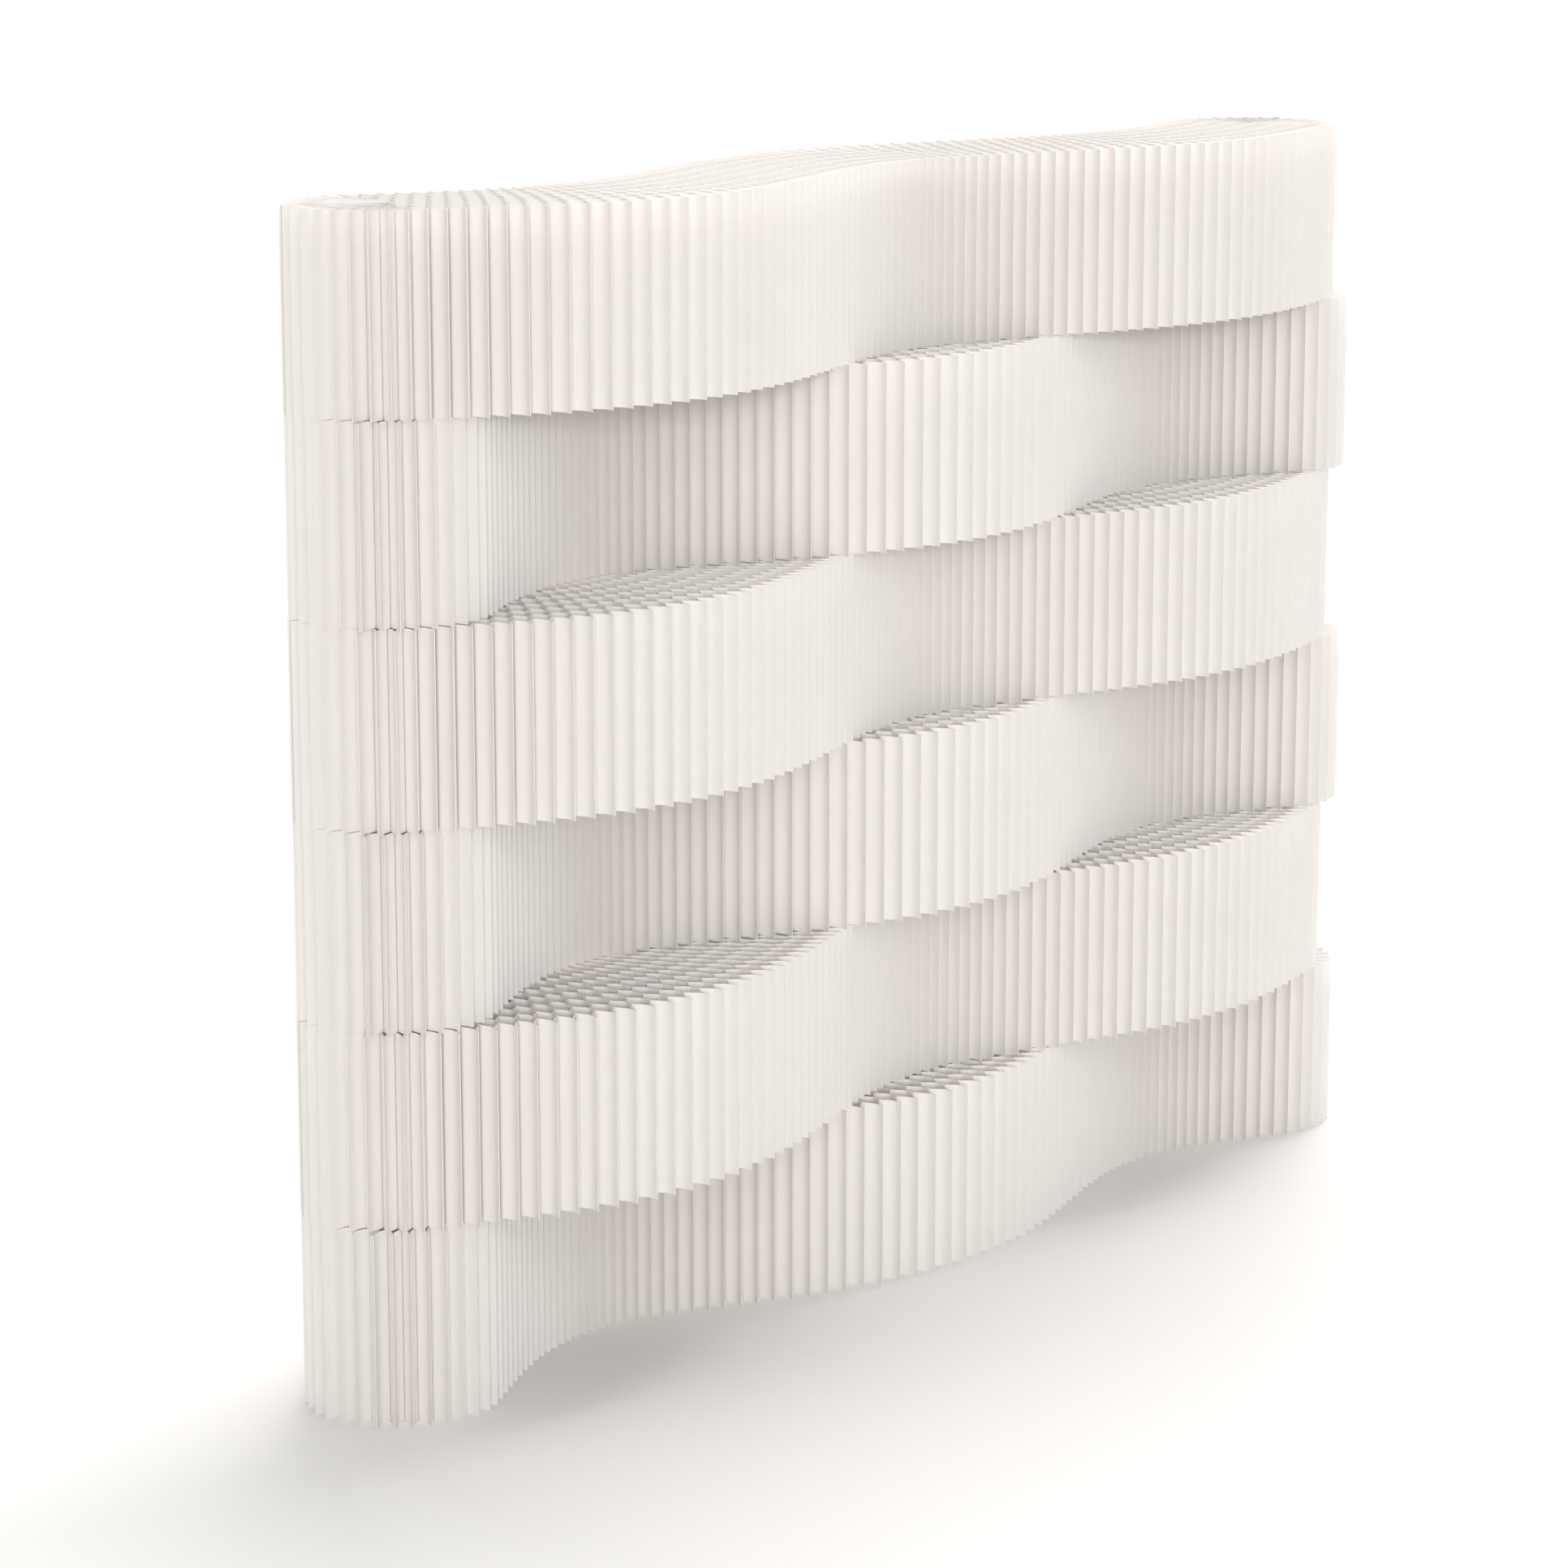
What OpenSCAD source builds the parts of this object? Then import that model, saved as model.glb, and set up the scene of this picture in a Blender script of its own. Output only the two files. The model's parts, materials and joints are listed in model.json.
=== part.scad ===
// Pleated paper screen: six loose tiers of glued honeycomb paper stacked into a wall.
// Each tier is a run of upright sheets, glued to each other on staggered strips, with an
// end panel at both ends that is folded in half, so that its last sheets fan out round it.
// Units are millimetres. +X runs along the wall, -Y is its front and +Z is up.

/* [Wall] */
// Distance between the creases of an even tier's two end panels
span = 2085; // [1400:5:3000]
// How much further the odd tiers reach at the right end
odd_extra = 45; // [0:1:120]
// Height of one tier
tier_h = 305; // [150:5:500]
// Depth of the paper from its front edges to its back edges
depth = 305; // [200:5:400]
// Play between one tier and the next
tier_gap = 0.3; // [0.2:0.05:1]

/* [Curves] */
// Depth of the three bends of the even tiers
wave_even = 83; // [30:1:120]
// Depth of the three bends of the odd tiers, which go the other way
wave_odd = 103; // [30:1:120]
// How much more the left bend of the even tiers swings out than the right one
skew_even = 26; // [0:1:40]
// How much more the left bend of the odd tiers swings back than the right one
skew_odd = 22; // [0:1:40]
// Swing of the even tiers' middle to the front
bow_even = 28; // [0:1:80]
// Swing of the odd tiers' middle to the back
bow_odd = 55; // [0:1:80]

/* [Paper] */
// Pleats along the front of a tier's run
pleats = 76; // [40:2:84]
// Thickness of one sheet
paper = 0.4; // [0.3:0.05:0.6]
// Spaces between the glue lines from front to back
cell_rows = 5; // [3, 5, 7]
// Half height of the glue line inside the paper
glue = 0.8; // [0.5:0.1:2]
// Width of the glued lip that stands along each pleat
lip = 8; // [3:0.5:12]
// Blocks of sheets that a tier's run is made up from
blocks = 8; // [4:1:12]
// Play between two blocks of sheets
seam = 0.25; // [0.2:0.05:0.4]

/* [End panels] */
// Sheets in each quarter of an end fan
fan_sheets = 12; // [8:2:14]
// Thickness of the fan's sheets where they are stacked at the crease
spine = 8; // [7:0.5:12]
// Radius of the open core at the crease
spine_r = 3; // [2.5:0.25:5]
// Thickness of an end board
board_t = 2.2; // [1.8:0.1:3]
// Play between the two boards of an end panel
board_gap = 0.3; // [0.2:0.05:0.6]
// Start of a board from its crease
board_in = 0.6; // [0.3:0.1:2]

/* [Magnets] */
// Diameter of a magnet disc
magnet_d = 14; // [8:1:20]
// Thickness of a magnet disc
magnet_t = 1.2; // [0.6:0.1:1.4]
// Play of a magnet in its pocket
magnet_fit = 0.1; // [0.05:0.05:0.2]
// Distance of a magnet's centre from the tip of its board
magnet_in = 16; // [12:1:30]
// Distance of a magnet's centre from its tier's top or bottom
magnet_z = 48; // [20:1:70]

/* [Hidden] */
white = [0.93, 0.915, 0.895];
board_white = [0.9, 0.885, 0.86];
steel = [0.72, 0.73, 0.74];
$fn = 48;

// Reach of a tier from crease to crease, and its bends as sine terms
function even(k) = k % 2 == 0;
function reach(k) = span + (even(k) ? 0 : odd_extra);
function bends(k) = even(k) ? [-bow_even, -skew_even, -wave_even] : [bow_odd, skew_odd, wave_odd];
function sway(k, x) = bends(k) * [for (q = [1 : 3]) sin(180 * q * x / reach(k))];
function slope(k, x) = bends(k) *
    [for (q = [1 : 3]) PI * q / reach(k) * cos(180 * q * x / reach(k))];

// Length along a tier's curve against the distance from its left crease
steps = 240;
function arc(k) = let (d = reach(k) / steps)
    [for (i = 0, s = 0; i <= steps;
        s = s + norm([d, sway(k, (i + 1) * d) - sway(k, i * d)]), i = i + 1) [s, i * d]];
ARCS = [arc(0), arc(1)];
function table(k) = ARCS[even(k) ? 0 : 1];

// Sheets are counted along the run, and glue lines (rows) from the front to the back
sheets = 2 * pleats;
half = depth / 2;
row_step = depth / cell_rows;
fan_row = (cell_rows - 1) / 2;
core_r = 2 * spine_r;
face_n = board_gap / 2 + board_t;
function row(j) = half - j * row_step;
function glued(i, j) = (i + j) % 2 == 0;

// Point of a tier's run at sheet count s and distance r in front of its centre line
function run_len(k) = table(k)[steps][0] - 2 * spine;
function run_pt(k, s, r) =
    let (x = lookup(spine + (s + 0.5) / sheets * run_len(k), table(k)),
         d = slope(k, x), q = sqrt(1 + d * d))
    [x - span / 2 + r * d / q, sway(k, x) - r / q];

// Point of a fan's quarter, from the run (w = 0) to the board (w = 1), along the board's +X
function fan_pt(w, r) = [r * sin(90 * w) - spine * (1 - w), face_n * w + r * cos(90 * w)];

// Half the thickness of a glued pair, and half a seam, as shares of the sheet pitch there
function pair(k, r) = paper / pitch(k, r);
function play(k, r) = seam / 2 / pitch(k, r);
function pitch(k, r) = k > 0 ? run_len(k) / sheets : (PI / 2 * r + spine) / fan_sheets;

// Outer edge along one row of pleats, from sheet a to sheet b: lips, and grooves between them
function edge(k, a, b, j, d) =
    let (r = row(j), e = pair(k, abs(r)), p = play(k, abs(r)),
         low = r - d * lip, deep = row(j + d) + d * glue)
    [for (i = [a - 1 : b]) each
        !glued(i, j) ? (i == a - 1 || i == b ? [] : [[i + 0.5, deep]]) :
        i == a - 1 ? [[i + 0.5 + p, r], [i + 0.5 + e, r], [i + 0.5 + e, low]] :
        i == b ? [[i + 0.5 - e, low], [i + 0.5 - e, r], [i + 0.5 - p, r]] :
        [[i + 0.5 - e, low], [i + 0.5 - e, r], [i + 0.5 + e, r], [i + 0.5 + e, low]]];

// End face of a block: side 1 is the outer face of sheet i = b, side -1 of sheet i = a
function face(k, i, side, last) =
    [for (j = [0 : last]) let (r = row(j), s = i + side * 0.5, at = s - side * play(k, abs(r)),
        rim = j == 0 || j == cell_rows)
        each glued(side > 0 ? i : i - 1, j) ?
            (rim ? [[at, j == 0 ? r - lip : r + lip]] : [[at, r + glue], [at, r - glue]]) :
            rim ? [] : [[i - side * (0.5 - pair(k, abs(r))), r]]];

// The four-sided cells between the sheets a to b
function cells(k, a, b, last) =
    [for (i = [a : b - 1]) for (j = [0 : last - 2]) if (glued(i, j))
        cell(k, i, row(j) - (j == 0 ? lip : glue), row(j + 1),
             row(j + 2) + (j + 2 == cell_rows ? lip : glue))];
function cell(k, i, r0, r1, r2) =
    [[i + 0.5, r0], [i - 0.5 + pair(k, abs(r1)), r1], [i + 0.5, r2], [i + 1.5 - pair(k, abs(r1)), r1]];

function turned(l) = [for (i = [len(l) - 1 : -1 : 0]) l[i]];
function run_outline(k, a, b) = concat(edge(k, a, b, 0, 1), face(k, b, 1, cell_rows),
    turned(edge(k, a, b, cell_rows, -1)), turned(face(k, a, -1, cell_rows)));
function core(a, b) = let (p = play(0, spine_r), n = b - a + 1)
    [for (q = [0 : 8]) [b + 0.5 - p - q / 8 * (n - 2 * p), spine_r]];
function fan_outline(a, b) = concat(edge(0, a, b, 0, 1), face(0, b, 1, fan_row), core(a, b),
    turned(face(0, a, -1, fan_row)));
function core_cells(a, b) = [for (i = [a : b - 1]) if (!glued(i, fan_row))
    cell(0, i, row(fan_row - 1) - (fan_row == 1 ? lip : glue), row(fan_row), core_r)];

// First sheet of each block
function first(n) = 2 * round(n * pleats / blocks);

// Crease of an end panel (side -1 left, 1 right) and the way its boards point
function crease(k, side) = [(side < 0 ? 0 : reach(k)) - span / 2, 0];
function outward(k, side) = atan(slope(k, side < 0 ? 0 : reach(k))) + (side < 0 ? 180 : 0);
function placed(k, side, p) = let (a = outward(k, side))
    crease(k, side) + [p.x * cos(a) - p.y * sin(a), p.x * sin(a) + p.y * cos(a)];

// Sheets of a fan's front and back quarter, so that they carry on the run's glue lines
function fan_a(way) = way > 0 ? 0 : -1;
function fan_map(way, l) = let (a = fan_a(way))
    [for (c = l) let (p = fan_pt((c.x - a + 0.5) / fan_sheets, c.y)) [p.x, way * p.y]];

// Middle of the whole wall's outline, which is moved to the origin
outer = [for (k = [1, 2]) each concat(
    [for (n = [0 : blocks - 1]) for (c = run_outline(k, first(n), first(n + 1) - 1))
        run_pt(k, c.x, c.y)],
    [for (side = [-1, 1]) for (way = [-1, 1]) for (c = fan_map(way,
        fan_outline(fan_a(way), fan_a(way) + fan_sheets - 1))) placed(k, side, [c.x, -side * c.y])])];
mid = [(min([for (p = outer) p.x]) + max([for (p = outer) p.x])) / 2,
       (min([for (p = outer) p.y]) + max([for (p = outer) p.y])) / 2];

module tier_frame(k) {
    translate([-mid.x, -mid.y, (k - 1) * (tier_h + tier_gap)]) children();
}

module end_frame(k, side) {
    tier_frame(k) translate(crease(k, side)) rotate(outward(k, side)) children();
}

// One closed outline with the cells left out of it
module web(outline, holes) {
    rings = concat([outline], holes);
    ends = [for (i = 0, n = 0; i <= len(rings); n = n + (i < len(rings) ? len(rings[i]) : 0),
        i = i + 1) n];
    linear_extrude(tier_h)
        polygon([for (c = rings) each c],
            [for (i = [0 : len(rings) - 1]) [for (q = [ends[i] : ends[i + 1] - 1]) q]]);
}

// The run of a tier: blocks of upright sheets glued in a honeycomb
module paper_run(k) {
    color(white) tier_frame(k)
        for (n = [0 : blocks - 1]) {
            a = first(n);
            b = first(n + 1) - 1;
            web([for (c = run_outline(k, a, b)) run_pt(k, c.x, c.y)],
                [for (h = cells(k, a, b, cell_rows)) [for (c = h) run_pt(k, c.x, c.y)]]);
        }
}

// The fan at one end: a quarter round in front of the end panel and one behind it
module end_fan(k, side) {
    color(white) end_frame(k, side)
        for (way = [1, -1]) {
            a = fan_a(way);
            b = a + fan_sheets - 1;
            web([for (c = fan_map(way, fan_outline(a, b))) [c.x, -side * c.y]],
                [for (h = concat(cells(0, a, b, fan_row), core_cells(a, b)))
                    [for (c = fan_map(way, h)) [c.x, -side * c.y]]]);
        }
}

// One half of an end panel (way 1 front, -1 back), with pockets in the front half
module end_board(k, side, way) {
    color(board_white) end_frame(k, side) scale_y(-side * way) difference() {
        translate([board_in, board_gap / 2, 0]) cube([half - board_in, board_t, tier_h]);
        if (way > 0) magnet_places() cylinder(d = magnet_d + 2 * magnet_fit,
            h = board_gap / 2 + magnet_t + magnet_fit);
    }
}

// The two magnet discs of an end panel's front board
module magnet_pair(k, side) {
    color(steel) end_frame(k, side) scale_y(-side) magnet_places()
        translate([0, 0, board_gap / 2 + magnet_fit / 2]) cylinder(d = magnet_d, h = magnet_t);
}

module magnet_places() {
    for (z = [magnet_z, tier_h - magnet_z])
        translate([half - magnet_in, 0, z]) rotate([-90, 0, 0]) children();
}

module scale_y(s) {
    mirror([0, s < 0 ? 1 : 0, 0]) children();
}

paper_run(1);  // tier_1_paper
end_fan(1, -1);  // tier_1_left_fan
end_fan(1, 1);  // tier_1_right_fan
end_board(1, -1, 1);  // tier_1_left_front_board
end_board(1, -1, -1);  // tier_1_left_back_board
end_board(1, 1, 1);  // tier_1_right_front_board
end_board(1, 1, -1);  // tier_1_right_back_board
magnet_pair(1, -1);  // tier_1_left_magnets
magnet_pair(1, 1);  // tier_1_right_magnets
paper_run(2);  // tier_2_paper
end_fan(2, -1);  // tier_2_left_fan
end_fan(2, 1);  // tier_2_right_fan
end_board(2, -1, 1);  // tier_2_left_front_board
end_board(2, -1, -1);  // tier_2_left_back_board
end_board(2, 1, 1);  // tier_2_right_front_board
end_board(2, 1, -1);  // tier_2_right_back_board
magnet_pair(2, -1);  // tier_2_left_magnets
magnet_pair(2, 1);  // tier_2_right_magnets
paper_run(3);  // tier_3_paper
end_fan(3, -1);  // tier_3_left_fan
end_fan(3, 1);  // tier_3_right_fan
end_board(3, -1, 1);  // tier_3_left_front_board
end_board(3, -1, -1);  // tier_3_left_back_board
end_board(3, 1, 1);  // tier_3_right_front_board
end_board(3, 1, -1);  // tier_3_right_back_board
magnet_pair(3, -1);  // tier_3_left_magnets
magnet_pair(3, 1);  // tier_3_right_magnets
paper_run(4);  // tier_4_paper
end_fan(4, -1);  // tier_4_left_fan
end_fan(4, 1);  // tier_4_right_fan
end_board(4, -1, 1);  // tier_4_left_front_board
end_board(4, -1, -1);  // tier_4_left_back_board
end_board(4, 1, 1);  // tier_4_right_front_board
end_board(4, 1, -1);  // tier_4_right_back_board
magnet_pair(4, -1);  // tier_4_left_magnets
magnet_pair(4, 1);  // tier_4_right_magnets
paper_run(5);  // tier_5_paper
end_fan(5, -1);  // tier_5_left_fan
end_fan(5, 1);  // tier_5_right_fan
end_board(5, -1, 1);  // tier_5_left_front_board
end_board(5, -1, -1);  // tier_5_left_back_board
end_board(5, 1, 1);  // tier_5_right_front_board
end_board(5, 1, -1);  // tier_5_right_back_board
magnet_pair(5, -1);  // tier_5_left_magnets
magnet_pair(5, 1);  // tier_5_right_magnets
paper_run(6);  // tier_6_paper
end_fan(6, -1);  // tier_6_left_fan
end_fan(6, 1);  // tier_6_right_fan
end_board(6, -1, 1);  // tier_6_left_front_board
end_board(6, -1, -1);  // tier_6_left_back_board
end_board(6, 1, 1);  // tier_6_right_front_board
end_board(6, 1, -1);  // tier_6_right_back_board
magnet_pair(6, -1);  // tier_6_left_magnets
magnet_pair(6, 1);  // tier_6_right_magnets
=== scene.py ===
"""Pleated paper screen: the packed frame dressed as sheets of white paper, glued in a honeycomb.

Each tier's run is one piece of 152 upright sheets. Each end fan is two quarters, with sixteen
sheets behind and seventeen in front. The end boards and their magnets are the frame's own, with
a finish. Lengths are in metres.
"""

import json
import math

import bpy
import numpy as np
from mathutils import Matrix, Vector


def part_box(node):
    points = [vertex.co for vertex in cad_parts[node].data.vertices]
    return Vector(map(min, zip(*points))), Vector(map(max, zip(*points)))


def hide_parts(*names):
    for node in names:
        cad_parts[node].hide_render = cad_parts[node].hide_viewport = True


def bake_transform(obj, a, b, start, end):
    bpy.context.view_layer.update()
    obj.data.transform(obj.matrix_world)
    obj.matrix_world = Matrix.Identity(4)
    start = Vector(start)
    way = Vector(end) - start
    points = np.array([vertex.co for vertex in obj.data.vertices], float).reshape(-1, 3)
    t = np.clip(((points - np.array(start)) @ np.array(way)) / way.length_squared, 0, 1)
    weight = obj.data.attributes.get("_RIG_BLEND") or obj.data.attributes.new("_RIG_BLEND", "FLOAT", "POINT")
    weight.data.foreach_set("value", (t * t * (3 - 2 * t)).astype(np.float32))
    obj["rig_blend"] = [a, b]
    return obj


bl_info = {
    "name": "Pleated Paper Screen",
    "version": (1, 0, 0),
    "blender": (4, 5, 0),
    "location": "3D View > Sidebar > Paper Screen",
    "description": "Dresses a wall of stacked, pleated paper tiers",
    "category": "Object",
}

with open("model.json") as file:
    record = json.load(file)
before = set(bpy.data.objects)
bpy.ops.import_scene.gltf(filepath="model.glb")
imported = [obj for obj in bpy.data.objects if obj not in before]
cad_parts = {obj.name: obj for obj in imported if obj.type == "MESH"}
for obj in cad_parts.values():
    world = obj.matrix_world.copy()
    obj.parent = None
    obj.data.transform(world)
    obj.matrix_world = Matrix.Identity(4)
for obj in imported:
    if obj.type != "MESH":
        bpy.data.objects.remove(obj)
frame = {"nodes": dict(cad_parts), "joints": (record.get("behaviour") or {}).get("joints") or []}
JOINTS = {joint["name"]: joint for joint in frame["joints"]}
TIERS = range(1, 1 + sum(name.endswith("_paper") for name in frame["nodes"]))
BOARD_LOW, BOARD_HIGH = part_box("tier_1_left_front_board")
TIER_HEIGHT = (BOARD_HIGH - BOARD_LOW).z

HALF_WAVES = np.arange(1, 4)  # half waves in a tier's three bends
CURVE_STEPS = 2001  # points where a tier's curve is measured
END_SHARE = 0.22  # share of a drawn-in run, at either end, that keeps some of its lean
WALL_SLANT = 0.1  # share of a pleat's swing that its wall takes evenly
WALL_DELAY = 1.5  # how far the rest of the swing is held back towards the valley
PAINTED_SHADE_FADE = 0.008  # way over which the painted shade fades from a valley's glue strip along the sheet
PAINTED_WALL_SHADE = 0.35  # painted shade on a pleat's wall away from its valley, where the wall lies in shade
SOFT_ANGLE = math.radians(16)  # bends sharper than this look creased
MARK_SHADE = 0.82  # brightness of a magnet's handling marks, next to its bright plating
FLOOR_REACH = 400.0  # half width of the floor, past anything the camera sees


# ---------------------------------------------------------------- settings


class ScreenPaper(bpy.types.PropertyGroup):
    """The paper and how it is glued"""

    pleats: bpy.props.IntProperty(
        name="Pleats", description="Pleats along the front of one tier", default=76, min=20
    )
    depth: bpy.props.FloatProperty(
        name="Depth", description="Front edges to back edges", default=0.305, unit="LENGTH"
    )
    rows: bpy.props.IntProperty(
        name="Cell Rows", description="Spaces between glue lines, front to back", default=7
    )
    sheet: bpy.props.FloatProperty(
        name="Sheet", description="Thickness of one sheet", default=0.0005, unit="LENGTH"
    )
    lip: bpy.props.FloatProperty(
        name="Lip", description="Glued lip along each pleat", default=0.008, unit="LENGTH"
    )
    strip: bpy.props.FloatProperty(
        name="Glue Strip", description="Half height of the glue strips", default=0.005,
        unit="LENGTH",
    )
    fan_sheets: bpy.props.IntProperty(
        name="Fan Sheets", description="Sheets in a quarter of an end fan", default=16
    )
    slit: bpy.props.FloatProperty(
        name="Slit", description="Half width of the slit where a valley meets its glue strip",
        default=0.001, precision=4, unit="LENGTH",
    )
    spine: bpy.props.FloatProperty(
        name="Spine", description="Stack of a fan's sheets at the crease", default=0.008,
        unit="LENGTH",
    )
    core: bpy.props.FloatProperty(
        name="Core", description="Radius where a fan's sheets end", default=0.003, unit="LENGTH"
    )
    board_face: bpy.props.FloatProperty(
        name="Board Face", description="End panel's middle to a board's outer face",
        default=0.00235, unit="LENGTH",
    )
    unevenness: bpy.props.FloatProperty(
        name="Unevenness", description="Wander of the glue lines, as a share of the spacing",
        default=0.05, subtype="FACTOR",
    )
    seed: bpy.props.IntProperty(name="Seed", description="Start of the wander", default=4)


class ScreenCurves(bpy.types.PropertyGroup):
    """The bends that each tier is pulled into, from long to short"""

    even: bpy.props.FloatVectorProperty(
        name="Even Tiers", description="Bends of one, two and three half waves", size=3,
        default=(-0.028, -0.026, -0.083), unit="LENGTH",
    )
    odd: bpy.props.FloatVectorProperty(
        name="Odd Tiers", description="Bends of one, two and three half waves", size=3,
        default=(0.055, 0.022, 0.103), unit="LENGTH",
    )


class ScreenFinishes(bpy.types.PropertyGroup):
    """Colours of the paper, its painted valley shade, the end boards and the magnets"""

    paper: bpy.props.FloatVectorProperty(
        name="Paper", description="White of the sheets", subtype="COLOR",
        default=(0.955, 0.942, 0.928),
    )
    paper_shade: bpy.props.FloatVectorProperty(
        name="Paper Shade", description="Darker fibres of the sheets", subtype="COLOR",
        default=(0.935, 0.918, 0.9),
    )
    # Painted shade: a darker, warmer paper colour painted into the pleats' valleys and along their walls,
    # where shade falls
    glue: bpy.props.FloatVectorProperty(
        name="Painted Valley Shade", description="Paper where it bends into a glue strip", subtype="COLOR",
        default=(0.925, 0.895, 0.875),
    )
    glow: bpy.props.FloatProperty(
        name="Glow", description="Share of the light that passes through a sheet", default=0.2,
        subtype="FACTOR",
    )
    # Painted shade: the boards' white and its fibres are set darker than the card, to the shaded paper
    # beside them at the fans
    board: bpy.props.FloatVectorProperty(
        name="Board", description="White of the end boards", subtype="COLOR",
        default=(0.72, 0.695, 0.67),
    )
    board_shade: bpy.props.FloatVectorProperty(
        name="Board Shade", description="Darker fibres of the end boards", subtype="COLOR",
        default=(0.66, 0.635, 0.605),
    )
    steel: bpy.props.FloatVectorProperty(
        name="Magnet Plating", description="Bright plating of the magnets", subtype="COLOR",
        default=(0.72, 0.73, 0.74),
    )


class ScreenStage(bpy.types.PropertyGroup):
    """Floor, light and camera of the studio"""

    camera_place: bpy.props.FloatVectorProperty(
        name="Camera", description="Place of the camera", subtype="TRANSLATION",
        default=(-5.8275, -5.1986, 2.4708),
    )
    heading: bpy.props.FloatProperty(
        name="Heading", description="Way the camera looks, from +X", subtype="ANGLE",
        default=math.radians(42.65),
    )
    tilt: bpy.props.FloatProperty(
        name="Tilt", description="How far the camera looks down", subtype="ANGLE",
        default=math.radians(12.129),
    )
    lens: bpy.props.FloatProperty(
        name="Lens", description="Focal length in millimetres", default=110.12, min=10
    )
    sun: bpy.props.FloatProperty(
        name="Main Light", description="Strength of the large soft light", default=2.4
    )
    fill: bpy.props.FloatProperty(
        name="Front Light", description="Strength of the soft light on the front", default=0.35
    )
    near: bpy.props.FloatProperty(
        name="Near Light", description="Strength of the soft light at the camera", default=1.3
    )
    back: bpy.props.FloatProperty(
        name="Back Light", description="Strength of the soft light on the back", default=1.1
    )
    sky: bpy.props.FloatProperty(
        name="Room Light", description="Strength of the light from all round", default=0.5
    )
    floor: bpy.props.FloatVectorProperty(
        name="Floor", description="White of the floor", subtype="COLOR",
        default=(0.66, 0.645, 0.63),
    )
    floor_seen: bpy.props.FloatVectorProperty(
        name="Floor Seen", description="The floor's white as the camera sees it",
        subtype="COLOR", default=(0.965, 0.955, 0.943),
    )


GROUPS = {
    "screen_paper": ScreenPaper,
    "screen_curves": ScreenCurves,
    "screen_finishes": ScreenFinishes,
    "screen_stage": ScreenStage,
}


# ---------------------------------------------------------------- materials


def link(tree, *pairs):
    for source, target in pairs:
        tree.links.new(source, target)


def paper_fibre():
    """Node group: fibres and soft mottling of uncoated paper, built once."""
    name = "Paper Fibre"
    if name in bpy.data.node_groups:
        return bpy.data.node_groups[name]
    tree = bpy.data.node_groups.new(name, "ShaderNodeTree")
    for label, value in (("Fibre Size", 900.0), ("Mottle Size", 9.0), ("Contrast", 0.5)):
        socket = tree.interface.new_socket(label, in_out="INPUT", socket_type="NodeSocketFloat")
        socket.default_value = value
    for label in ("Tone", "Height", "Roughness"):
        tree.interface.new_socket(label, in_out="OUTPUT", socket_type="NodeSocketFloat")
    given = tree.nodes.new("NodeGroupInput")
    out = tree.nodes.new("NodeGroupOutput")
    place = tree.nodes.new("ShaderNodeTexCoord")
    fibres = tree.nodes.new("ShaderNodeTexNoise")
    fibres.inputs["Detail"].default_value = 3.0
    fibres.inputs["Distortion"].default_value = 0.6
    mottle = tree.nodes.new("ShaderNodeTexNoise")
    mottle.inputs["Detail"].default_value = 4.0
    mottle.inputs["Roughness"].default_value = 0.55
    tone = tree.nodes.new("ShaderNodeMix")
    tone.inputs["Factor"].default_value = 0.3
    spread = tree.nodes.new("ShaderNodeMapRange")
    spread.inputs["From Min"].default_value = 0.3
    spread.inputs["From Max"].default_value = 0.7
    weaken = tree.nodes.new("ShaderNodeMath")
    weaken.operation = "MULTIPLY"
    rough = tree.nodes.new("ShaderNodeMapRange")
    rough.inputs["To Min"].default_value = 0.82
    rough.inputs["To Max"].default_value = 0.96
    link(
        tree,
        (place.outputs["Object"], fibres.inputs["Vector"]),
        (place.outputs["Object"], mottle.inputs["Vector"]),
        (given.outputs["Fibre Size"], fibres.inputs["Scale"]),
        (given.outputs["Mottle Size"], mottle.inputs["Scale"]),
        (mottle.outputs["Fac"], tone.inputs["A"]),
        (fibres.outputs["Fac"], tone.inputs["B"]),
        (tone.outputs["Result"], spread.inputs["Value"]),
        (spread.outputs["Result"], weaken.inputs[0]),
        (given.outputs["Contrast"], weaken.inputs[1]),
        (fibres.outputs["Fac"], rough.inputs["Value"]),
        (weaken.outputs["Value"], out.inputs["Tone"]),
        (fibres.outputs["Fac"], out.inputs["Height"]),
        (rough.outputs["Result"], out.inputs["Roughness"]),
    )
    return tree


def fresh_material(name, colour):
    """A material by this name that holds a plain shader only, even if it was built before."""
    material = bpy.data.materials.get(name) or bpy.data.materials.new(name)
    material.use_nodes = True
    material.diffuse_color = (*colour, 1)
    tree = material.node_tree
    tree.nodes.clear()
    surface = tree.nodes.new("ShaderNodeBsdfPrincipled")
    out = tree.nodes.new("ShaderNodeOutputMaterial")
    link(tree, (surface.outputs["BSDF"], out.inputs["Surface"]))
    return material, tree, surface


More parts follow.
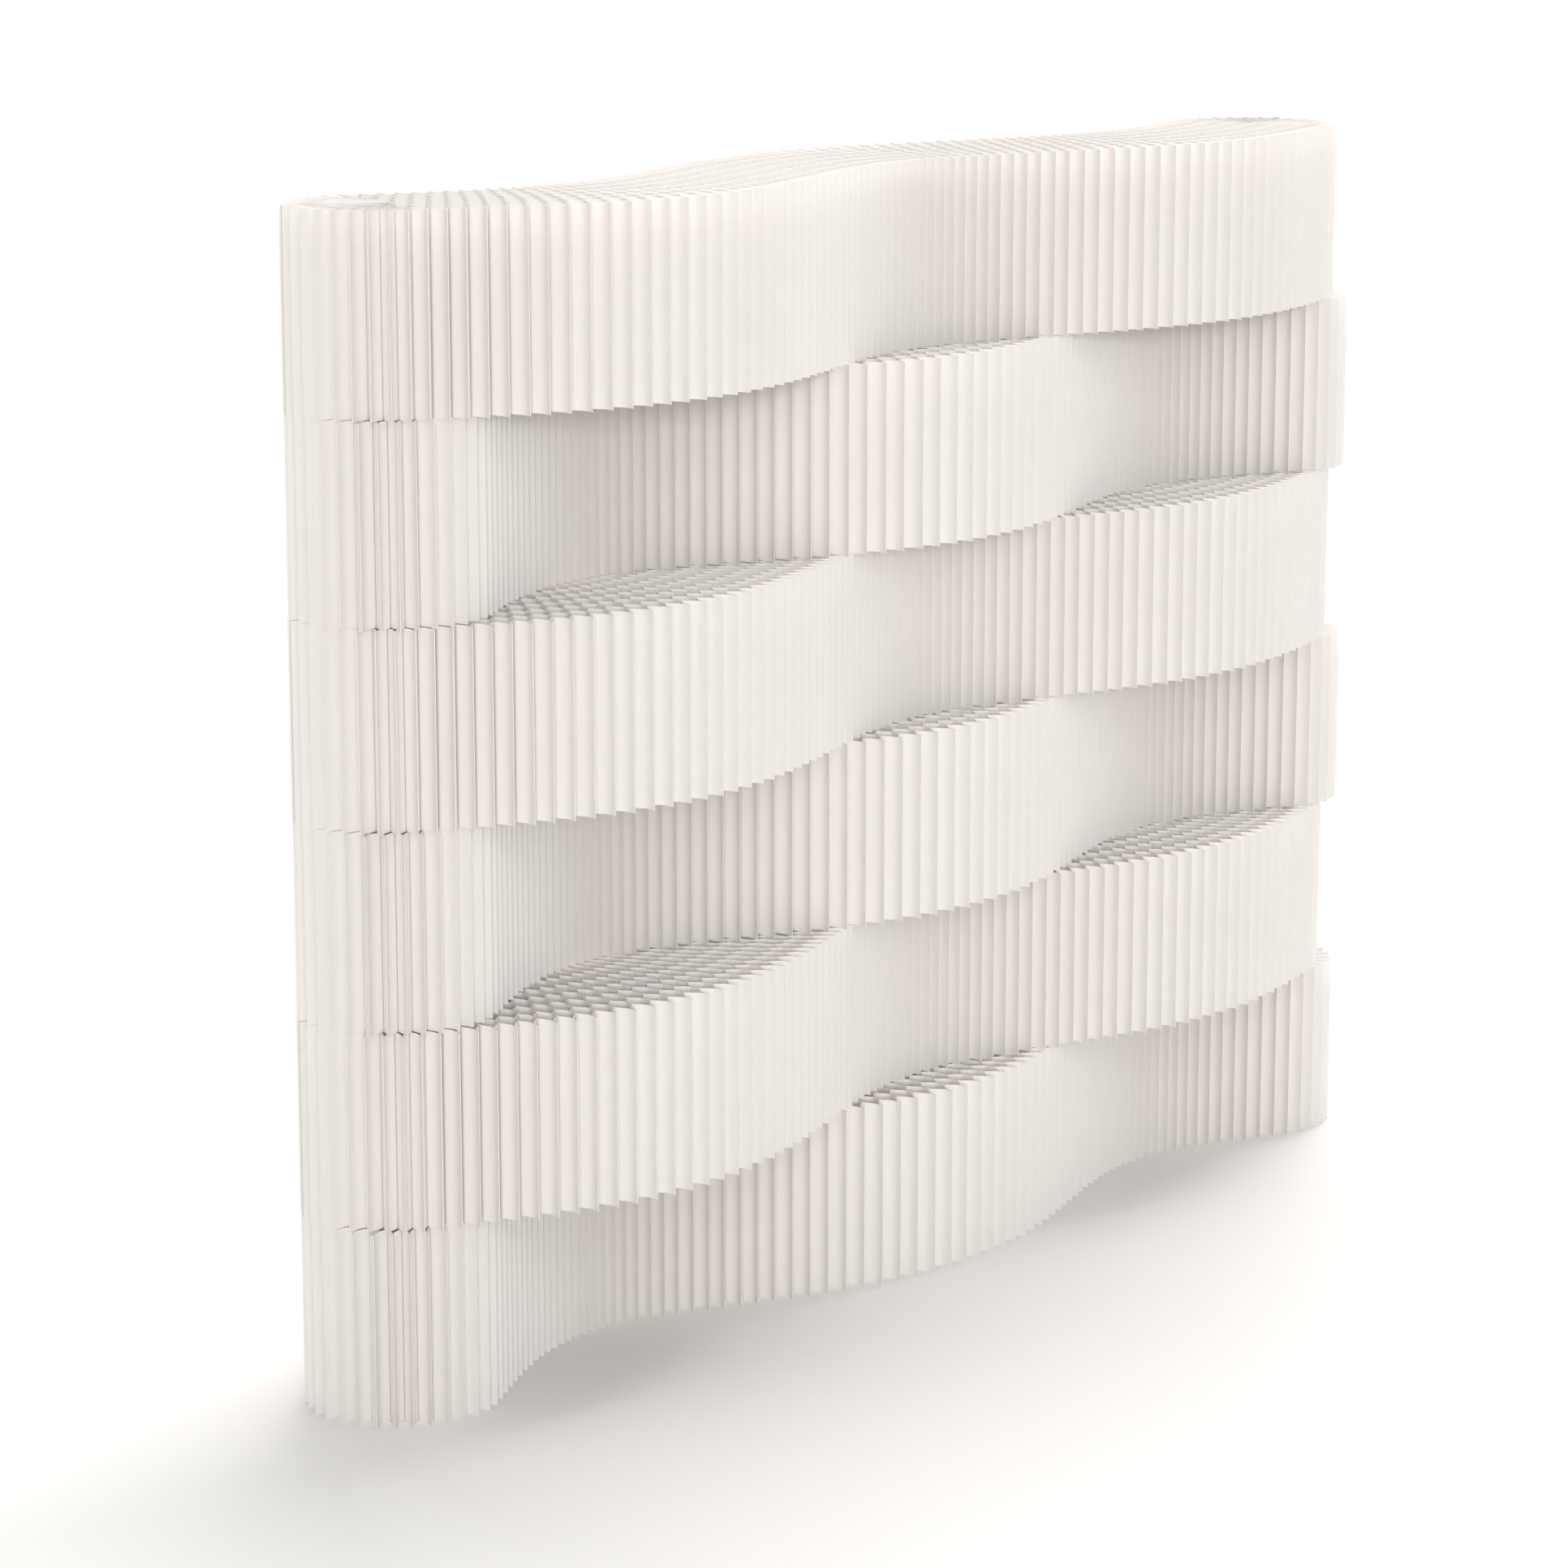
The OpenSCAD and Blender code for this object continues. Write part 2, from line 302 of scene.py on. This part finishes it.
def fibre_material(name, light, shade, fibre_size, mottle_size, contrast, relief):
    """A matt material of paper or board, with its fibres from the shared group."""
    material, tree, surface = fresh_material(name, light)
    surface.inputs["Specular IOR Level"].default_value = 0.25
    fibre = tree.nodes.new("ShaderNodeGroup")
    fibre.node_tree = paper_fibre()
    fibre.inputs["Fibre Size"].default_value = fibre_size
    fibre.inputs["Mottle Size"].default_value = mottle_size
    fibre.inputs["Contrast"].default_value = contrast
    blend = tree.nodes.new("ShaderNodeMix")
    blend.data_type = "RGBA"
    blend.inputs["A"].default_value = (*light, 1)
    blend.inputs["B"].default_value = (*shade, 1)
    bump = tree.nodes.new("ShaderNodeBump")
    bump.inputs["Strength"].default_value = 0.35
    bump.inputs["Distance"].default_value = relief
    link(
        tree,
        (fibre.outputs["Tone"], blend.inputs["Factor"]),
        (blend.outputs["Result"], surface.inputs["Base Color"]),
        (fibre.outputs["Roughness"], surface.inputs["Roughness"]),
        (fibre.outputs["Height"], bump.inputs["Height"]),
        (bump.outputs["Normal"], surface.inputs["Normal"]),
    )
    return material


def paper_material(finishes):
    """Thin paper that lets some light through, which warms the hollows between the sheets. Its colour
    carries a painted shade in the pleats' valleys.
    """
    material = fibre_material(
        "White Paper", finishes.paper, finishes.paper_shade,
        fibre_size=700.0, mottle_size=7.0, contrast=0.7, relief=0.0001,
    )
    tree = material.node_tree
    surface = tree.nodes["Principled BSDF"]
    through = tree.nodes.new("ShaderNodeBsdfTranslucent")
    through.inputs["Color"].default_value = (*finishes.paper, 1)
    both = tree.nodes.new("ShaderNodeMixShader")
    both.inputs["Fac"].default_value = finishes.glow
    # Painted shade: this attribute mixes the paper towards the valley shade colour in the pleats' valleys
    # and along their walls
    line = tree.nodes.new("ShaderNodeAttribute")
    line.attribute_name = "Painted Valley Shade"
    painted_shade_mix = tree.nodes.new("ShaderNodeMix")
    painted_shade_mix.data_type = "RGBA"
    painted_shade_mix.inputs["B"].default_value = (*finishes.glue, 1)
    paper = surface.inputs["Base Color"].links[0].from_socket
    link(
        tree,
        (line.outputs["Fac"], painted_shade_mix.inputs["Factor"]),
        (paper, painted_shade_mix.inputs["A"]),
        (painted_shade_mix.outputs["Result"], surface.inputs["Base Color"]),
        (surface.outputs["BSDF"], both.inputs[1]),
        (through.outputs["BSDF"], both.inputs[2]),
        (both.outputs["Shader"], tree.nodes["Material Output"].inputs["Surface"]),
    )
    return material


def board_material(finishes):
    return fibre_material(
        "Board With Painted Shade", finishes.board, finishes.board_shade,
        fibre_size=350.0, mottle_size=14.0, contrast=0.9, relief=0.0002,
    )


def magnet_material(finishes):
    """Plated magnets: bright metal with fine, cloudy handling marks."""
    material, tree, surface = fresh_material("Magnet Plating", finishes.steel)
    surface.inputs["Metallic"].default_value = 1.0
    place = tree.nodes.new("ShaderNodeTexCoord")
    clouds = tree.nodes.new("ShaderNodeTexNoise")
    clouds.inputs["Scale"].default_value = 160.0
    clouds.inputs["Detail"].default_value = 6.0
    rough = tree.nodes.new("ShaderNodeMapRange")
    rough.inputs["To Min"].default_value = 0.18
    rough.inputs["To Max"].default_value = 0.42
    tone = tree.nodes.new("ShaderNodeMix")
    tone.data_type = "RGBA"
    tone.inputs["A"].default_value = (*finishes.steel, 1)
    tone.inputs["B"].default_value = (*[MARK_SHADE * c for c in finishes.steel], 1)
    link(
        tree,
        (place.outputs["Object"], clouds.inputs["Vector"]),
        (clouds.outputs["Fac"], rough.inputs["Value"]),
        (rough.outputs["Result"], surface.inputs["Roughness"]),
        (clouds.outputs["Fac"], tone.inputs["Factor"]),
        (tone.outputs["Result"], surface.inputs["Base Color"]),
    )
    return material


# ---------------------------------------------------------------- a tier's curve


class Tier:
    """The curve of one tier, from its left crease to its right one, and its two ends."""

    def __init__(self, number, paper, curves):
        self.number = number
        left = JOINTS[f"tier_{number}_left_open"]["pos_m"]
        right = JOINTS[f"tier_{number}_right_open"]["pos_m"]
        self.left = np.array(left[:2])
        self.reach = right[0] - left[0]
        self.bends = np.array(curves.odd if number % 2 else curves.even)
        self.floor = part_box(f"tier_{number}_left_front_board")[0].z
        x = np.linspace(0, self.reach, CURVE_STEPS)
        steps = np.hypot(np.diff(x), np.diff(self.sway(x)))
        self.lengths = np.concatenate([[0], np.cumsum(steps)])
        self.places = x
        self.first = paper.spine
        self.run = self.lengths[-1] - 2 * paper.spine

    def waves(self, x):
        """Angles of the three bends' sine waves at x, a row for each place."""
        return np.outer(np.atleast_1d(x), np.pi * HALF_WAVES / self.reach)

    def sway(self, x):
        """Distance of the curve behind the straight line between the two creases."""
        return np.sin(self.waves(x)) @ self.bends

    def slope(self, x):
        """Slope of the curve at x."""
        return (np.cos(self.waves(x)) * np.pi * HALF_WAVES / self.reach) @ self.bends

    def lean(self, share):
        """Place along the curve at a share of the run's length, and the sheet's lean there."""
        x = np.interp(self.first + share * self.run, self.lengths, self.places)
        slope = self.slope(x)
        return x, slope / np.sqrt(1 + slope**2)

    def points(self, share, r):
        """Points at a share of the run's length and a distance r in front of its middle."""
        x, lean = self.lean(share)
        y = self.sway(x) - r * np.sqrt(1 - lean**2)
        return self.left + np.stack([x + r * lean, y], axis=1)

    def drawn(self, share, r, travel):
        """Share of the draw's travel that the same points take when the run closes up.

        The sheets come to stand across the travel. Those near the ends keep more of their lean,
        which keeps them beside the end fans.
        """
        x, lean = self.lean(share)
        (first, last), ends = self.lean(np.array([0, 1]))
        keep = 1 - travel / (last - first)
        near = [np.clip(1 - way / END_SHARE, 0, 1) ** 2 for way in (share, 1 - share)]
        closed = keep * lean + (1 - keep) * (ends[0] * near[0] + ends[1] * near[1])
        return ((x - first) * (1 - keep) + r * (lean - closed)) / travel

    def end(self, side):
        """Crease of an end panel and the way that its boards point, side -1 left and 1 right."""
        x = 0 if side < 0 else self.reach
        angle = math.atan(self.slope(x)[0]) + (math.pi if side < 0 else 0)
        return self.left + np.array([x, 0]), angle


# ---------------------------------------------------------------- sheets


def glued(gap, row):
    """Whether the gap between two sheets is glued shut at this row."""
    return (gap + row) % 2 == 0


def soft_step(u):
    """From 0 to 1, level at both ends."""
    return u * u * (3 - 2 * u)


def bend_profile(kind):
    """Shares of the way and of the swing, from one glue strip to the next, towards the back.

    A pleat's wall leaves its lip almost straight and rounds off into the valley. Inside, a sheet
    leaves one strip and joins the next in a soft S. The walls at the back are those of the front,
    turned round.
    """
    if kind == "cell":
        t = np.array([0.15, 0.3, 0.42, 0.58, 0.7, 0.85])
        return t, soft_step((t - t[0]) / (t[-1] - t[0]))
    t = np.array([0.15, 0.3, 0.45, 0.57, 0.67, 0.76, 0.84, 0.92])
    arch = WALL_SLANT * t + (1 - WALL_SLANT) * soft_step(t**WALL_DELAY)
    return (t, arch) if kind == "pleat" else (1 - t[::-1], 1 - arch[::-1])


def sheet_path(paper, sheet, lines, last_row, slit=0.0, core=False):
    """A sheet's way from its outer edge inwards, as far as its last row of glue.

    Gives distances r, places in sheet counts, how far the sheet's middle stands off there, in
    metres, and its painted shade: 1 on the glue strips in the valleys, where shade falls, fading
    along a pleat's wall, and 0 elsewhere. lines(gap, row) gives the place of a glue line.
    """
    half = paper.depth / 2
    step = paper.depth / paper.rows
    snug = paper.sheet / 2
    stops = []
    for row in range(last_row + 1):
        r = half - row * step
        ahead = glued(sheet, row)
        place = lines(sheet if ahead else sheet - 1, row)
        away = -1 if ahead else 1
        front, back = paper.strip, paper.strip
        loose_front, loose_back = snug, snug
        if row == 0:
            front, back = 0, paper.lip
        elif row == paper.rows:
            front, back = paper.lip, 0
        elif row == 1:
            loose_front += slit
        elif row == paper.rows - 1:
            loose_back += slit
        stops.append((r + front, r - back, place, away * loose_front, away * loose_back))
    if core:
        stops.append((2 * paper.core, paper.core, float(sheet), 0, 0))
    rs, places, offsets, painted_shades = [], [], [], []
    for row, (high, low, place, off_high, off_low) in enumerate(stops):
        rs += [high, low]
        places += [place, place]
        offsets += [off_high, off_low]
        # Painted shade: the strips in the pleats' valleys, where shade falls, get all of it
        valley = row in (1, paper.rows - 1)
        painted_shades += [float(valley)] * 2
        if row + 1 == len(stops):
            break
        next_high, _, next_place, next_off, _ = stops[row + 1]
        kind = {0: "pleat", paper.rows - 1: "pleat back"}.get(row, "cell")
        t, f = bend_profile(kind)
        rs += list(low + t * (next_high - low))
        places += list(place + f * (next_place - place))
        offsets += list(off_low + f * (next_off - off_low))
        # Painted shade: it fades from the valley's glue strip along the pleat's wall, down to the painted
        # wall shade; cells get none
        from_line = (t if valley else 1 - t) * (low - next_high)
        wall = np.maximum(1 - from_line / PAINTED_SHADE_FADE, PAINTED_WALL_SHADE)
        painted_shades += list(0 * t if kind == "cell" else wall)
    return np.array(rs), np.array(places), np.array(offsets), painted_shades


def sheet_mesh(name, outlines, painted_shades, floor, height):
    """One mesh of upright sheets. Each outline is (one face's points, the other's), and each sheet brings
    its painted valley shade.
    """
    verts, faces = [], []
    for near, far in outlines:
        n, base = len(near), len(verts)
        for z in (floor, floor + height):
            verts += [(*p, z) for p in near] + [(*p, z) for p in far]
        low, high = base, base + 2 * n
        for q in range(n - 1):
            faces += [
                (low + q, high + q, high + q + 1, low + q + 1),
                (low + n + q + 1, high + n + q + 1, high + n + q, low + n + q),
                (high + q, high + n + q, high + n + q + 1, high + q + 1),
                (low + q + 1, low + n + q + 1, low + n + q, low + q),
            ]
        faces += [
            (low, low + n, high + n, high),
            (low + n - 1, high + n - 1, high + 2 * n - 1, low + 2 * n - 1),
        ]
    mesh = bpy.data.meshes.new(name)
    mesh.from_pydata(verts, [], faces)
    mesh.shade_smooth()
    mesh.set_sharp_from_angle(angle=SOFT_ANGLE)
    # Painted shade: each point's share of the valley shade colour, for the paper's material
    glue = mesh.attributes.new("Painted Valley Shade", "FLOAT", "POINT")
    glue.data.foreach_set(
        "value", np.concatenate([tone * 4 for tone in painted_shades]).astype(np.float32)
    )
    mesh.update()
    return mesh


def piece(name, mesh, material):
    obj = bpy.data.objects.new(name, mesh)
    obj.data.materials.append(material)
    bpy.context.scene.collection.objects.link(obj)
    return obj


def blend_shares(mesh, weights):
    """Give every point its own share of the joint's motion."""
    shares = np.clip(np.concatenate(weights), 0, 1).astype(np.float32)
    mesh.attributes["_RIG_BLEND"].data.foreach_set("value", shares)


def line_wander(paper, tier, part):
    """Places of the glue lines in sheet counts, each a little off its even spacing."""
    count = 2 * paper.pleats + 4 * paper.fan_sheets
    rng = np.random.default_rng([paper.seed, tier.number, part])
    shifts = rng.uniform(-paper.unevenness, paper.unevenness, (count, paper.rows + 1))

    def place(gap, row):
        return gap + 0.5 + shifts[(gap + paper.fan_sheets) % count, row]

    return place


class PAPER_SCREEN_OT_paper_runs(bpy.types.Operator):
    """Build the run of upright, glued sheets of every tier"""

    bl_idname = "paper_screen.paper_runs"
    bl_label = "Paper Runs"

    def execute(self, context):
        scene = context.scene
        paper = scene.screen_paper
        material = paper_material(scene.screen_finishes)
        count = 2 * paper.pleats
        for number in TIERS:
            tier = Tier(number, paper, scene.screen_curves)
            lines = line_wander(paper, tier, 0)
            pitch = tier.run / count
            travel = JOINTS[f"tier_{number}_draw"]["range_m"][1]
            outlines, painted_shades, weights = [], [], []
            for sheet in range(count):
                r, place, off, tone = sheet_path(
                    paper, sheet, lines, paper.rows, slit=paper.slit
                )
                painted_shades.append(tone)
                faces = [
                    (place + (off + face) / pitch + 0.5) / count
                    for face in (-paper.sheet / 2, paper.sheet / 2)
                ]
                outlines.append([tier.points(share, r) for share in faces])
                weights += 2 * [tier.drawn(share, r, travel) for share in faces]
            name = f"tier_{number}_pleated_run"
            mesh = sheet_mesh(name, outlines, painted_shades, tier.floor, TIER_HEIGHT)
            run = piece(name, mesh, material)
            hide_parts(f"tier_{number}_paper")
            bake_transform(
                run,
                f"tier_{number}",
                f"tier_{number}_far_end",
                start=(*tier.left, tier.floor),
                end=(tier.left[0] + tier.reach, tier.left[1], tier.floor),
            )
            blend_shares(mesh, weights)
        return {"FINISHED"}


class PAPER_SCREEN_OT_end_fans(bpy.types.Operator):
    """Build the sheets that fan out round the crease at both ends of every tier"""

    bl_idname = "paper_screen.end_fans"
    bl_label = "End Fans"

    def execute(self, context):
        scene = context.scene
        paper = scene.screen_paper
        material = paper_material(scene.screen_finishes)
        for number in TIERS:
            tier = Tier(number, paper, scene.screen_curves)
            for side, end in ((-1, "left"), (1, "right")):
                for way, face in ((1, "front"), (-1, "back")):
                    self.quarter(paper, tier, side, end, way, face, material)
        return {"FINISHED"}

    def quarter(self, paper, tier, side, end, way, face, material):
        """The sheets between the run and one board of the end panel.

        A quarter starts in step with the run's glue lines and ends in a lip on its board, which
        takes one sheet more in front.
        """
        crease, angle = tier.end(side)
        start = 0 if way > 0 else -1
        count = paper.fan_sheets + (way > 0)
        lines = line_wander(paper, tier, 2 * (1 + side) + (3 + way) // 2)
        last_row = (paper.rows - 1) // 2
        along = np.array([math.cos(angle), math.sin(angle)])
        across = np.array([-along[1], along[0]]) * -side * way

        def fan_points(w, r):
            out = r * np.sin(w * np.pi / 2) - paper.spine * (1 - w)
            up = paper.board_face * w + r * np.cos(w * np.pi / 2)
            return crease + np.outer(out, along) + np.outer(up, across)

        outlines, painted_shades, weights = [], [], []
        for sheet in range(start, start + count):
            r, place, off, tone = sheet_path(paper, sheet, lines, last_row, core=True)
            painted_shades.append(tone)
            pitch = (np.pi / 2 * r + paper.spine) / count
            snug = paper.sheet / 2 / pitch
            turn = place + off / pitch - start + 0.5
            middle = np.clip(turn, snug, count - snug)
            faces = [(middle + facing * snug) / count for facing in (-1, 1)]
            outlines.append([fan_points(w, r) for w in faces])
            weights.append(np.concatenate([*faces, *faces]))
        name = f"tier_{tier.number}_{end}_{face}_fan"
        mesh = sheet_mesh(name, outlines, painted_shades, tier.floor, TIER_HEIGHT)
        if side * way > 0:
            mesh.flip_normals()
        fan = piece(name, mesh, material)
        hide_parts(f"tier_{tier.number}_{end}_fan")
        body = f"tier_{tier.number}" if side < 0 else f"tier_{tier.number}_far_end"
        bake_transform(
            fan,
            body,
            f"tier_{tier.number}_{end}_{face}",
            start=(*(crease + paper.depth / 2 * across), tier.floor),
            end=(*(crease + paper.depth / 2 * along), tier.floor),
        )
        # The sheets turn evenly round the crease, so each gets its own share of the angle.
        blend_shares(mesh, weights)


class PAPER_SCREEN_OT_end_boards(bpy.types.Operator):
    """Finish the folded boards that close both ends of every tier"""

    bl_idname = "paper_screen.end_boards"
    bl_label = "End Boards"

    def execute(self, context):
        dress("_board", board_material(context.scene.screen_finishes))
        return {"FINISHED"}


class PAPER_SCREEN_OT_magnets(bpy.types.Operator):
    """Finish the magnets in the front boards"""

    bl_idname = "paper_screen.magnets"
    bl_label = "Magnets"

    def execute(self, context):
        dress("_magnets", magnet_material(context.scene.screen_finishes))
        return {"FINISHED"}


def dress(ending, material):
    """Give a finish to every node of the frame whose name ends so."""
    for name, node in frame["nodes"].items():
        if name.endswith(ending):
            for slot in node.material_slots:
                slot.material = material


# ---------------------------------------------------------------- stage


class PAPER_SCREEN_OT_stage(bpy.types.Operator):
    """Set up the white floor, the soft light and the camera"""

    bl_idname = "paper_screen.stage"
    bl_label = "Stage"

    def execute(self, context):
        scene = context.scene
        stage = scene.screen_stage
        self.floor(stage)
        self.light(scene, stage)
        self.camera(scene, stage)
        scene.view_settings.view_transform = "Standard"
        # White paper passes light on many times before it is lost in the hollows.
        scene.cycles.max_bounces = 24
        scene.cycles.diffuse_bounces = 20
        scene.cycles.transmission_bounces = 20
        return {"FINISHED"}

    def floor(self, stage):
        """A seamless white floor: it keeps shadows, and the camera sees the rest as white."""
        mesh = bpy.data.meshes.new("Floor")
        signs = ((-1, -1), (1, -1), (1, 1), (-1, 1))
        corners = [(x * FLOOR_REACH, y * FLOOR_REACH, 0) for x, y in signs]
        mesh.from_pydata(corners, [], [(0, 1, 2, 3)])
        floor = bpy.data.objects.new("Floor", mesh)
        bpy.context.scene.collection.objects.link(floor)
        material = bpy.data.materials.new("Seamless White")
        material.use_nodes = True
        tree = material.node_tree
        surface = tree.nodes["Principled BSDF"]
        surface.inputs["Roughness"].default_value = 1.0
        surface.inputs["Specular IOR Level"].default_value = 0.0
        path = tree.nodes.new("ShaderNodeLightPath")
        white = tree.nodes.new("ShaderNodeMix")
        white.data_type = "RGBA"
        white.inputs["A"].default_value = (*stage.floor, 1)
        white.inputs["B"].default_value = (*stage.floor_seen, 1)
        link(
            tree,
            (path.outputs["Is Camera Ray"], white.inputs["Factor"]),
            (white.outputs["Result"], surface.inputs["Base Color"]),
        )
        mesh.materials.append(material)

    def light(self, scene, stage):
        """Soft light from the right, the front, the camera, the back and all round."""
        # In degrees: spread across the light, its height, and where it stands, from +X.
        for name, strength, spread, tint, height, towards in (
            ("Main Light", stage.sun, 45, (1.0, 0.99, 0.975), 50, 22),
            ("Front Light", stage.fill, 30, (1.0, 1.0, 0.99), 30, -125),
            ("Near Light", stage.near, 14, (1.0, 1.0, 0.995), 9, -134),
            ("Back Light", stage.back, 20, (1.0, 1.0, 0.995), 6, 70),
        ):
            lamp = bpy.data.lights.new(name, "SUN")
            lamp.energy = strength
            lamp.angle = math.radians(spread)
            lamp.color = tint
            holder = bpy.data.objects.new(name, lamp)
            holder.rotation_euler = (math.radians(90 - height), 0, math.radians(towards + 90))
            scene.collection.objects.link(holder)
        world = bpy.data.worlds.new("White Room")
        world.use_nodes = True
        scene.world = world
        tree = world.node_tree
        backdrop = tree.nodes["Background"]
        backdrop.inputs["Color"].default_value = (1.0, 0.995, 0.985, 1)
        path = tree.nodes.new("ShaderNodeLightPath")
        seen = tree.nodes.new("ShaderNodeMix")
        seen.inputs["A"].default_value = stage.sky
        seen.inputs["B"].default_value = 1.0
        link(
            tree,
            (path.outputs["Is Camera Ray"], seen.inputs["Factor"]),
            (seen.outputs["Result"], backdrop.inputs["Strength"]),
        )

    def camera(self, scene, stage):
        """The photograph's view: a long lens from the front left, looking a little down."""
        lens = bpy.data.cameras.new("Camera")
        lens.lens = stage.lens
        lens.sensor_width = 36.0
        lens.clip_end = 2000.0
        camera = bpy.data.objects.new("Camera", lens)
        camera.location = stage.camera_place
        camera.rotation_euler = (math.pi / 2 - stage.tilt, 0, stage.heading - math.pi / 2)
        scene.collection.objects.link(camera)
        scene.camera = camera


# ---------------------------------------------------------------- panel and run


OPERATORS = (
    PAPER_SCREEN_OT_paper_runs,
    PAPER_SCREEN_OT_end_fans,
    PAPER_SCREEN_OT_end_boards,
    PAPER_SCREEN_OT_magnets,
    PAPER_SCREEN_OT_stage,
)


class PAPER_SCREEN_PT_panel(bpy.types.Panel):
    """Sizes, colours and steps of the paper screen"""

    bl_idname = "PAPER_SCREEN_PT_panel"
    bl_label = "Pleated Paper Screen"
    bl_space_type = "VIEW_3D"
    bl_region_type = "UI"
    bl_category = "Paper Screen"

    def draw(self, context):
        for group, kind in GROUPS.items():
            box = self.layout.box()
            box.label(text=kind.__doc__)
            for name in kind.__annotations__:
                box.prop(getattr(context.scene, group), name)
        for operator in OPERATORS:
            self.layout.operator(operator.bl_idname)


def register():
    for name, kind in GROUPS.items():
        bpy.utils.register_class(kind)
        setattr(bpy.types.Scene, name, bpy.props.PointerProperty(type=kind))
    for kind in (*OPERATORS, PAPER_SCREEN_PT_panel):
        bpy.utils.register_class(kind)


def unregister():
    for kind in reversed((*OPERATORS, PAPER_SCREEN_PT_panel)):
        bpy.utils.unregister_class(kind)
    for name, kind in GROUPS.items():
        delattr(bpy.types.Scene, name)
        bpy.utils.unregister_class(kind)


def main():
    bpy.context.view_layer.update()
    register()
    for operator in OPERATORS:
        getattr(bpy.ops.paper_screen, operator.bl_idname.split(".")[1])()


if __name__ == "__main__":
    main()
